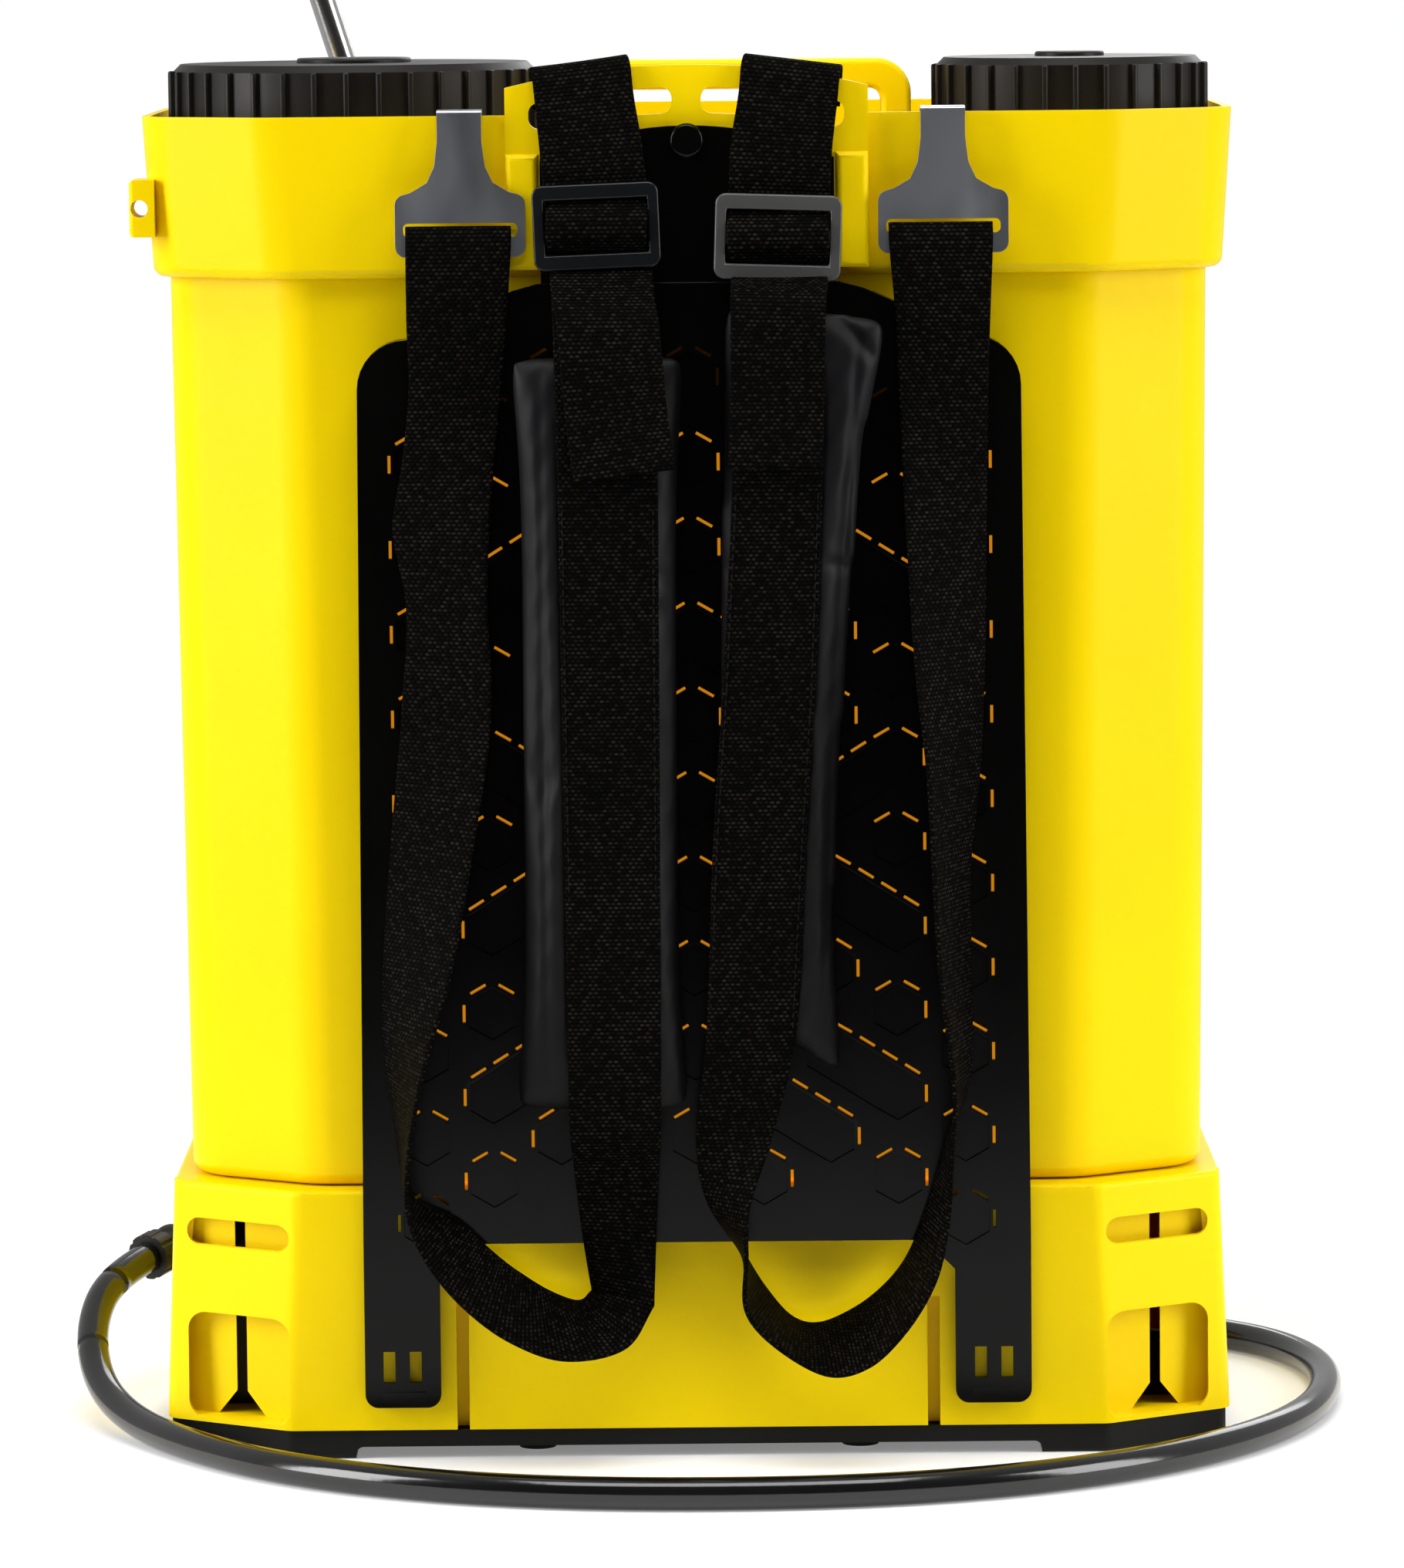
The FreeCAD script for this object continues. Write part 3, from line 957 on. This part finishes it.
def pump_head():
    """Diaphragm pump head with its two ports and its mounting foot."""
    x0, x1, y0, y1, z0, z1 = PUMP_HEAD
    block = box(x0, x1, y0, y1, z0, z1)
    block = block.makeFillet(6.0, [e for e in block.Edges if e.BoundBox.XLength > 10])
    foot = box(x0 - 2, x1 + 6, y0 - 6, y1 + 6, TRAY_TOP - 2.6, z0 + 1)
    ports = [rod(6.0, (x0 + 1, y, PUMP_Z + 10), (x0 - 12, y, PUMP_Z + 10)) for y in (y0 + 14, y1 - 14)]
    return fused([block, foot] + ports)


def pump_motor():
    """Round direct-current motor on the pump head's side."""
    x1 = PUMP_HEAD[1]
    can = rod(MOTOR_R, (x1, PUMP_Y, PUMP_Z), (x1 + MOTOR_LENGTH, PUMP_Y, PUMP_Z))
    can = can.makeFillet(2.0, [e for e in can.Edges if e.BoundBox.XMin > x1 + 1])
    end = rod(6.0, (x1 + MOTOR_LENGTH - 1, PUMP_Y, PUMP_Z), (x1 + MOTOR_LENGTH + 4, PUMP_Y, PUMP_Z))
    return fused([can, end])


def suction_hose(index):
    """Short hose from one chamber's spigot down to the selector valve."""
    x, y = spigot_places()[index]
    top = TANK_BOTTOM - SPIGOT_LENGTH
    side = 1 if index else -1
    middle = (x - VALVE_X) / 2 + VALVE_X
    route = [(x, y, top), (x, y, top - 8), (x - side * 9, y + 5, VALVE_Z + 3)]
    if index:
        route += [(middle, VALVE_PORT_Y - 1, VALVE_Z + 1)]
    route += [(VALVE_X + side * 26, VALVE_PORT_Y, VALVE_Z), (VALVE_X + side * 15, VALVE_PORT_Y, VALVE_Z)]
    return hose(route, SPIGOT_R)


def selector_valve():
    """Three-way valve that takes liquid from one chamber or the other."""
    body = rod(12.0, (VALVE_X, 42, VALVE_Z), (VALVE_X, 84, VALVE_Z))
    ports = rod(8.0, (VALVE_X - 15, VALVE_PORT_Y, VALVE_Z), (VALVE_X + 15, VALVE_PORT_Y, VALVE_Z))
    out = rod(6.0, (VALVE_X, 66, VALVE_Z), (VALVE_X, 66, VALVE_Z - 22))
    stem_hole = rod(3.1, (VALVE_X, 70, VALVE_Z), (VALVE_X, 85, VALVE_Z))
    return fused([body, ports, out]).cut(stem_hole)


def selector_lever():
    """Lever at the rear of the base that turns the selector valve."""
    stem = rod(3.0, (VALVE_X, 70.5, VALVE_Z), (VALVE_X, 112, VALVE_Z))
    hub = rod(9.0, (VALVE_X, 106.0, VALVE_Z), (VALVE_X, 114, VALVE_Z))
    arm = box(VALVE_X - 4, VALVE_X + 4, 107.0, 113.0, VALVE_Z, VALVE_Z + 26)
    arm = arm.makeFillet(2.4, [e for e in arm.Edges if e.BoundBox.ZLength > 10])
    return fused([stem, hub, arm])


def outlet_axis():
    """The outlet elbow's corner, the hose's end on it, and the unit direction between them."""
    end = Vector(*HOSE_ROUTE[0])
    direction = (Vector(*HOSE_ROUTE[1]) - end).normalize()
    return end - direction * OUTLET_ARM, end, direction


def delivery_hose():
    """Hose inside the base from the pump to the outlet on the left wall."""
    start_y = PUMP_HEAD[3] - 14
    corner = outlet_axis()[0]
    port = PUMP_Z + 10
    route = [(PUMP_HEAD[0] - 12, start_y, port), (PUMP_HEAD[0] - 22, start_y, port), (-27, -9, 66),
             (-31, -1, 82), (-52, 5, 88), (-84, 10, 88), (-120, 19, 87), (-145, 40, 82), (-159, 62, 66),
             (-171, corner.y, corner.z), (OUTLET_INNER_X, corner.y, corner.z)]
    return hose(route, 4.5)


def outlet_fitting():
    """Elbow on the base's left wall that the delivery hose is pushed onto."""
    corner, end, direction = outlet_axis()
    body = rod(8.0, (OUTLET_INNER_X, corner.y, corner.z), tuple(corner))
    wall = -(BASE_W_LOW / 2 + 0.4)
    flange = rod(11.0, (wall, corner.y, corner.z), (wall - 3.0, corner.y, corner.z))
    ball = Part.makeSphere(8.0, corner)
    barb = Part.makeCylinder(5.0, OUTLET_ARM, corner, direction)
    return fused([body, flange, ball, barb])


def outlet_nut():
    """Ring nut that clamps the hose on the outlet, with grip flutes."""
    corner, end, direction = outlet_axis()
    length = 8.0
    start = end - direction * length
    nut = Part.makeCylinder(9.0, length, start, direction)
    across = direction.cross(Vector(0, 0, 1)).normalize()
    up = across.cross(direction)
    flutes = []
    for i in range(10):
        angle = math.radians(36.0 * i)
        centre = start + across * (9.6 * math.cos(angle)) + up * (9.6 * math.sin(angle))
        flutes.append(Part.makeCylinder(1.2, length, centre, direction))
    return nut.cut([Part.makeCylinder(5.0 + 0.05, length, start, direction)] + flutes)


def hose_tube():
    """The free delivery hose, from the outlet round the front to the spray gun."""
    tube = hose(HOSE_ROUTE, HOSE_R)
    length = route_wire(HOSE_ROUTE).Length
    print("hose radii", [round(r) for r in bend_radii(HOSE_ROUTE)])
    print(f"hose length {length:.0f}, volume ratio {tube.Volume / (math.pi * HOSE_R ** 2 * length):.4f}")
    return tube


# ================================================================ control panel
def control_panel():
    """Rear panel that carries the switch, the pressure knob, the meter and the charging socket."""
    z = (PANEL_Z0 + PANEL_Z1) / 2
    corners = [(PANEL_X0, PANEL_Z0), (PANEL_X1, PANEL_Z0), (PANEL_X1, PANEL_Z1), (PANEL_X0, PANEL_Z1)]
    plate = upright_plate(corners, PANEL_Y, PANEL_Y + PANEL_T, 6.0)
    half_x, half_z = ROCKER_HALF_X + 2.0, ROCKER_HALF_Z + 2.0
    frame = box(ROCKER_X - half_x, ROCKER_X + half_x, PANEL_Y - 14, PANEL_Y + PANEL_T + 1.6,
                z - half_z, z + half_z)
    half_x, half_z = ROCKER_HALF_X + GAP, ROCKER_HALF_Z + GAP
    hollow = box(ROCKER_X - half_x, ROCKER_X + half_x, PANEL_Y - 12, PANEL_Y + 9, z - half_z, z + half_z)
    stem = rod(3.4, (KNOB_X, PANEL_Y - 8, z), (KNOB_X, PANEL_Y + 9, z))
    meter = box(METER_X - METER_HALF_X, METER_X + METER_HALF_X, PANEL_Y - 6, PANEL_Y + 9,
                z - METER_HALF_Z + 7, z + METER_HALF_Z + 7)
    socket = rod(SOCKET_R + 0.05, (SOCKET_X, PANEL_Y - 6, SOCKET_Z), (SOCKET_X, PANEL_Y + 9, SOCKET_Z))
    return fused([plate, frame]).cut([hollow, stem, meter, socket])


def panel_middle():
    """Height of the panel's centre line."""
    return (PANEL_Z0 + PANEL_Z1) / 2


def power_rocker():
    """Rocker of the main switch, with a slightly raised upper half."""
    z = panel_middle()
    y = PANEL_Y + PANEL_T
    points = [(y - 9, z - 9.6), (y + 2.4, z - 9.6), (y + 1.2, z), (y + 4.6, z + 9.6), (y - 9, z + 9.6)]
    x0 = ROCKER_X - ROCKER_HALF_X
    corners = [Vector(x0, a, b) for a, b in points]
    face = Part.Face(Part.makePolygon(corners + corners[:1]))
    block = face.extrude(Vector(2 * ROCKER_HALF_X, 0, 0))
    trunnion = rod(9.3, (x0, y - 6, z), (x0 + 2 * ROCKER_HALF_X, y - 6, z))
    return block.common(trunnion.fuse(box(x0, x0 + 14, y - 3, y + 9, z - 9.0, z + 9.0)))


def pressure_knob():
    """Fluted knob of the pressure control, with a pointer rib and its stem."""
    z = panel_middle()
    y = PANEL_Y + PANEL_T + GAP
    body = rod(KNOB_R, (KNOB_X, y, z), (KNOB_X, y + KNOB_T, z))
    flutes = [rod(1.5, (KNOB_X + (KNOB_R + 0.5) * math.cos(a), y - 1, z + (KNOB_R + 0.5) * math.sin(a)),
                  (KNOB_X + (KNOB_R + 0.5) * math.cos(a), y + KNOB_T + 1,
                   z + (KNOB_R + 0.5) * math.sin(a)))
              for a in [math.radians(15 + 30 * i) for i in range(12)]]
    pointer = box(KNOB_X - 0.9, KNOB_X + 0.9, y + KNOB_T - 1, y + KNOB_T + 1.2, z, z + KNOB_R - 1.5)
    stem = rod(3.0, (KNOB_X, PANEL_Y - 7.5, z), (KNOB_X, y + 1, z))
    return fused([body.cut(flutes), pointer, stem])


def voltage_meter():
    """Small voltage display behind the panel's window."""
    z = panel_middle() + 7
    return box(METER_X - METER_HALF_X + 0.1, METER_X + METER_HALF_X - 0.1, PANEL_Y - 6, PANEL_Y + 2.4,
               z - METER_HALF_Z + 0.1, z + METER_HALF_Z - 0.1)


def charging_socket():
    """Round charging socket with its centre pin."""
    body = ring(SOCKET_R, 3.2, (SOCKET_X, PANEL_Y - 12, SOCKET_Z), (SOCKET_X, PANEL_Y + 4.2, SOCKET_Z))
    back = rod(SOCKET_R, (SOCKET_X, PANEL_Y - 14, SOCKET_Z), (SOCKET_X, PANEL_Y - 12, SOCKET_Z))
    pin = rod(1.0, (SOCKET_X, PANEL_Y - 13, SOCKET_Z), (SOCKET_X, PANEL_Y + 2, SOCKET_Z))
    return fused([body, back, pin])


def socket_cover():
    """Rubber cover of the charging socket, hinged on its upper edge."""
    y = PANEL_Y + 4.2 + GAP
    disc = rod(7.4, (SOCKET_X, y, SOCKET_Z), (SOCKET_X, y + 2.0, SOCKET_Z))
    plug = rod(2.6, (SOCKET_X, y - 1.4, SOCKET_Z), (SOCKET_X, y + 1, SOCKET_Z))
    socket_pin = rod(1.4, (SOCKET_X, y - 5, SOCKET_Z), (SOCKET_X, y - 0.2, SOCKET_Z))
    arm = box(SOCKET_X - 3.5, SOCKET_X + 3.5, y, y + 2.0, SOCKET_Z, SOCKET_Z + 10.6)
    hinge = rod(1.6, (SOCKET_X - 3.5, y + 0.4, SOCKET_Z + 10.8), (SOCKET_X + 3.5, y + 0.4, SOCKET_Z + 10.8))
    return fused([disc, plug, arm, hinge]).cut(socket_pin)


def circuit_board():
    """Control board behind the panel."""
    x0, x1 = PANEL_X0 + 6, PANEL_X1 - 6
    board = box(x0, x1, 80.0, 81.6, PANEL_Z0 + 6, PANEL_Z1 - 4)
    parts = [box(x0 + step, x0 + step + 9, 72.0, 80.5, 40, 52) for step in (5, 23, 49, 69)]
    return fused([board] + parts)


# ================================================================ spray gun and lance
def gun_profile(clearance, start, end):
    """A rounded bar on the gun's own axes, smaller than the gun by a clearance all round."""
    half_x, half_y = GUN_HALF_WIDTH - clearance, GUN_HALF_DEPTH - clearance
    points = [(-half_x, -half_y), (half_x, -half_y), (half_x, half_y), (-half_x, half_y)]
    return prism((points, [9.0 - clearance * 0.8] * 4), start, end)


def gun_shell(rear):
    """One moulded half of the gun's body, split in the plane of the lance."""
    outer = gun_profile(0.0, 0.0, GUN_LENGTH)
    outer = rounded_at_z(rounded_at_z(outer, 0.0, 3.0), GUN_LENGTH, 3.0)
    inner = gun_profile(SHELL_WALL, SHELL_WALL, GUN_LENGTH - SHELL_WALL)
    y0, y1 = (0.05, 40) if rear else (-40, -0.05)
    side = box(-40, 40, y0, y1, -5, GUN_LENGTH + 5)
    mouth = rod(TUBE_R + 0.2, (0, 0, GUN_LENGTH - 8), (0, 0, GUN_LENGTH + 5))
    heel = rod(6.2, (0, 0, -5), (0, 0, 8))
    slot = box(4.0, 40, -5.2, 5.2, LOCK_PIVOT_S - 14, TRIGGER_PIVOT_S + 9)
    ears = [box(8, GUN_HALF_WIDTH + 7, y0, y1, s - 6, s + 6)
            for y0, y1 in ((-8.2, -5.2), (5.2, 8.2)) for s in (TRIGGER_PIVOT_S, LOCK_PIVOT_S)]
    pivots = [rod(1.6, (GUN_HALF_WIDTH + 2.5, -9, s), (GUN_HALF_WIDTH + 2.5, 9, s))
              for s in (TRIGGER_PIVOT_S, LOCK_PIVOT_S)]
    body = fused([outer] + ears).cut([inner.cut(ears), mouth, heel, slot] + pivots)
    return place_gun(body.common(side))


def gun_valve():
    """Valve body inside the gun, with the inlet stub and the socket of the lance."""
    stub = rod(5.8, (0, 0, -NUT_LENGTH + 2), (0, 0, 14))
    body = rod(7.0, (0, 0, 12), (0, 0, 46))
    riser = rod(4.0, (-4.5, 0, 44), (-4.5, 0, 120))
    socket = rod(7.5, (0, 0, 118), (0, 0, TUBE_START + 6))
    lance_bore = rod(TUBE_R + 0.02, (0, 0, TUBE_START), (0, 0, TUBE_START + 7))
    return place_gun(fused([stub, body, riser, socket]).cut(lance_bore))


def hose_nut():
    """Nut that clamps the hose on the gun's inlet."""
    nut = rod(NUT_R, (0, 0, -NUT_LENGTH - 4), (0, 0, -GAP))
    ridges = [box(NUT_R - 1, NUT_R + 1.0, -1.2, 1.2, -NUT_LENGTH - 2, -3) for _ in range(12)]
    for i, ridge in enumerate(ridges):
        ridge.rotate(Vector(0, 0, 0), Vector(0, 0, 1), 30.0 * i)
    stub = rod(5.8 + 0.1, (0, 0, -NUT_LENGTH + 2 - 0.1), (0, 0, 1))
    mouth = rod(HOSE_R + 0.1, (0, 0, -NUT_LENGTH - 5), (0, 0, -NUT_LENGTH - 4 + 0.01))
    return place_gun(fused([nut] + ridges).cut([stub, mouth]))


def trigger():
    """Long squeeze lever beside the grip, with its pin through the body's two ears."""
    x, s = GUN_HALF_WIDTH + 2.5, TRIGGER_PIVOT_S
    points = [(x - 4.0, s + 5), (x + 4.0, s + 5), (x + 9.5, s - 14), (x + 17.0, s - TRIGGER_LENGTH + 10),
              (x + 19.0, s - TRIGGER_LENGTH), (x + 14.0, s - TRIGGER_LENGTH),
              (x + 11.0, s - TRIGGER_LENGTH + 12), (x + 2.5, s - 24)]
    corners = [Vector(a, -4.8, b) for a, b in points]
    lever = Part.Face(Part.makePolygon(corners + corners[:1])).extrude(Vector(0, 9.6, 0))
    coils = [rod(3.4, (x, y0, s), (x, y1, s)) for y0, y1 in ((-5.0, -2.9), (2.9, 5.0))]
    pin = rod(1.55, (x, -8.2, s), (x, 8.2, s))
    return place_gun(fused([lever.cut(coils), pin]))


def trigger_spring():
    """Pair of wound coils on the trigger's pin that push the trigger back out."""
    x, s = GUN_HALF_WIDTH + 2.5, TRIGGER_PIVOT_S
    coils = [ring(2.9, 1.75, (x, y0, s), (x, y1, s)) for y0, y1 in ((-4.8, -3.1), (3.1, 4.8))]
    return place_gun(Part.makeCompound(coils))


def trigger_lock():
    """Swinging catch below the trigger that holds it pressed, on a pin through two ears."""
    x, s = GUN_HALF_WIDTH + 2.5, LOCK_PIVOT_S
    hub = rod(3.2, (x, -4.8, s), (x, 4.8, s))
    arm = box(x - 1.5, x + 1.5, -4.8, 4.8, s - LOCK_ARM, s)
    lip = box(x - 1.5, x + 4.0, -4.8, 4.8, s - LOCK_ARM, s - LOCK_ARM + 2.6)
    pin = rod(1.55, (x, -8.2, s), (x, 8.2, s))
    return place_gun(fused([hub, arm, lip, pin]))


def lance_tube():
    """Outer stainless tube of the telescopic lance."""
    return place_gun(ring(TUBE_R, TUBE_BORE, (0, 0, TUBE_START), (0, 0, TUBE_END)))


def lance_collet():
    """Clamping nut at the end of the outer tube."""
    start, end = COLLET_START, COLLET_START + COLLET_LENGTH
    nut = rod(COLLET_R, (0, 0, start), (0, 0, end))
    nut = nut.makeChamfer(2.5, [e for e in nut.Edges if e.BoundBox.ZMin > end - 0.01])
    grooves = []
    for i in range(16):
        groove = box(COLLET_R - 0.8, COLLET_R + 2, -0.6, 0.6, start + 4, end - 5)
        groove.rotate(Vector(0, 0, 0), Vector(0, 0, 1), 22.5 * i)
        grooves.append(groove)
    wide = rod(TUBE_R + 0.05, (0, 0, start - 1), (0, 0, TUBE_END + 0.2))
    narrow = rod(EXTENSION_R + 0.3, (0, 0, TUBE_END), (0, 0, end + 1))
    return place_gun(nut.cut([wide, narrow] + grooves))


def lance_extension():
    """Inner tube that draws out of the lance."""
    return place_gun(ring(EXTENSION_R, EXTENSION_BORE, (0, 0, EXTENSION_START), (0, 0, EXTENSION_END)))


def nozzle_frame():
    """The nozzle arm's start and end points on the gun's own axes."""
    bend = math.radians(NOZZLE_BEND)
    start = Vector(0, 0, EXTENSION_END + 8)
    return start, start + Vector(0, math.sin(bend), math.cos(bend)) * NOZZLE_ARM


def nozzle_elbow():
    """Bent holder that carries the nozzle, pushed onto the inner tube."""
    start, end = nozzle_frame()
    socket = ring(7.0, EXTENSION_R + 0.02, (0, 0, EXTENSION_END - 14), (0, 0, EXTENSION_END))
    head = rod(7.0, (0, 0, EXTENSION_END), tuple(start))
    knee = Part.makeSphere(7.0, start)
    arm = rod(5.6, tuple(start), tuple(end))
    return place_gun(fused([socket, head, knee, arm]))


def nozzle_cap():
    """Round cap nut that holds the spray disc, turned to set the cone."""
    start, end = nozzle_frame()
    along = (end - start).normalize()
    base = start + along * 11.0
    nut = Part.makeCylinder(9.0, 20.0, base, along)
    tip = base + along * 20.0
    nut = nut.makeChamfer(2.0, [e for e in nut.Edges if (e.CenterOfMass - tip).Length < 0.01])
    inside = Part.makeCylinder(5.6 + 0.05, NOZZLE_ARM - 11.0 + 0.3, base - along * 0.1, along)
    orifice = Part.makeCylinder(1.0, 30.0, base, along)
    mouth = Part.makeCone(1.0, 5.0, 4.0, base + along * 16.01, along)
    return place_gun(nut.cut([inside, orifice, mouth]))


# ================================================================ assembly
def pieces():
    """Every node and its shape, by name."""
    yield "tank_body", tank_body()
    yield "top_collar", top_collar()
    yield "carry_handle", carry_handle()
    yield "top_screws", top_screws()
    yield "large_strainer", strainer(LARGE_X, LARGE_R)
    yield "small_strainer", strainer(SMALL_X, SMALL_R)
    yield "large_gasket", gasket(LARGE_X, LARGE_R)
    yield "small_gasket", gasket(SMALL_X, SMALL_R)
    yield "large_cap", cap(LARGE_X, LARGE_R, LARGE_RIBS, LARGE_BOSS_R)
    yield "small_cap", cap(SMALL_X, SMALL_R, SMALL_RIBS, SMALL_BOSS_R)
    yield "base_housing", base_housing()
    yield "base_tray", base_tray()
    yield "tray_screws", tray_screws()
    yield "back_plate", back_plate()
    yield "plate_rivet", plate_rivet()
    yield "battery", battery()
    yield "pump_head", pump_head()
    yield "pump_motor", pump_motor()
    yield "suction_hose_large", suction_hose(0)
    yield "suction_hose_small", suction_hose(1)
    yield "selector_valve", selector_valve()
    yield "selector_lever", selector_lever()
    yield "delivery_hose", delivery_hose()
    yield "outlet_fitting", outlet_fitting()
    yield "outlet_nut", outlet_nut()
    yield "hose", hose_tube()
    yield "control_panel", control_panel()
    yield "power_rocker", power_rocker()
    yield "pressure_knob", pressure_knob()
    yield "voltage_meter", voltage_meter()
    yield "charging_socket", charging_socket()
    yield "socket_cover", socket_cover()
    yield "circuit_board", circuit_board()
    yield "left_webbing", Part.makeCompound([ribbon(LEFT_WEBBING, WEB_T), ribbon(LEFT_TAIL, TAIL_T)])
    yield "right_webbing", Part.makeCompound([ribbon(RIGHT_WEBBING, WEB_T), ribbon(RIGHT_TAIL, TAIL_T)])
    yield "left_loop", ribbon(LEFT_LOOP, WEB_T)
    yield "right_loop", ribbon(RIGHT_LOOP, WEB_T)
    yield "left_loop_end", ribbon(LEFT_END, WEB_T)
    yield "right_loop_end", ribbon(RIGHT_END, WEB_T)
    yield "left_pad", pad(LEFT_PAD[::-1])
    yield "right_pad", pad(RIGHT_PAD)
    yield "left_hook", strap_hook(LEFT_HOOK_X)
    yield "right_hook", strap_hook(RIGHT_HOOK_X)
    yield "left_buckle", buckle(LEFT_BUCKLE)
    yield "right_buckle", buckle(RIGHT_BUCKLE)
    yield "gun_shell_front", gun_shell(False)
    yield "gun_shell_rear", gun_shell(True)
    yield "gun_valve", gun_valve()
    yield "hose_nut", hose_nut()
    yield "trigger", trigger()
    yield "trigger_spring", trigger_spring()
    yield "trigger_lock", trigger_lock()
    yield "lance_tube", lance_tube()
    yield "lance_collet", lance_collet()
    yield "lance_extension", lance_extension()
    yield "nozzle_elbow", nozzle_elbow()
    yield "nozzle_cap", nozzle_cap()


for node, solid in pieces():
    export(node, solid)
